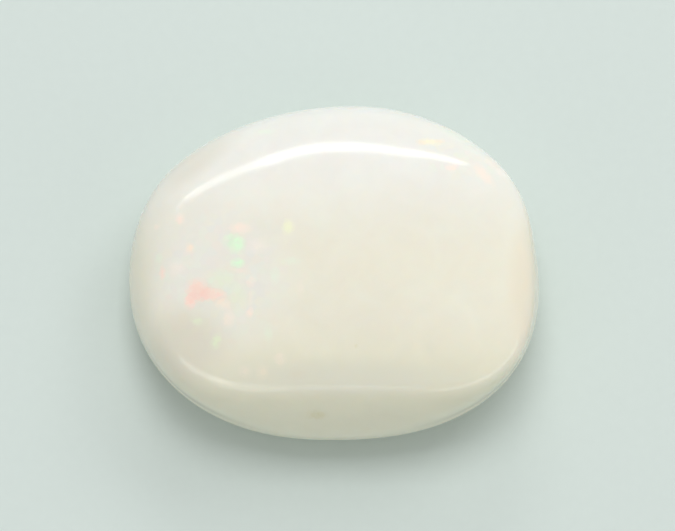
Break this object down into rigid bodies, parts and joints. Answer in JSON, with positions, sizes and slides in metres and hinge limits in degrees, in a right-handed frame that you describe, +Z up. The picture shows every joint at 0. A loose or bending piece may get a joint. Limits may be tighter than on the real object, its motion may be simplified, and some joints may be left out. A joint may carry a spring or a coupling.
{
  "type": "opal cabochon",
  "caption": "Loose polished white opal, an oval cushion-shaped cabochon with a low domed face, an edge that is a plain ridge in front and softens behind, smooth flanks and a flat back to rest on.",
  "frame": {"origin": "on the flat back, under the middle of the stone's outline", "axes": "+Z up out of the domed face, +X along the stone's length, -Y towards the front, where the edge of the face is a plain ridge"},
  "size_m": [0.014, 0.0116, 0.0052],
  "materials": {
    "polished_opal": "high polish, milky white with small patches of spectral colour"
  },
  "bodies": {
    "root": {"opal_stone": "polished_opal"}
  },
  "joints": []
}
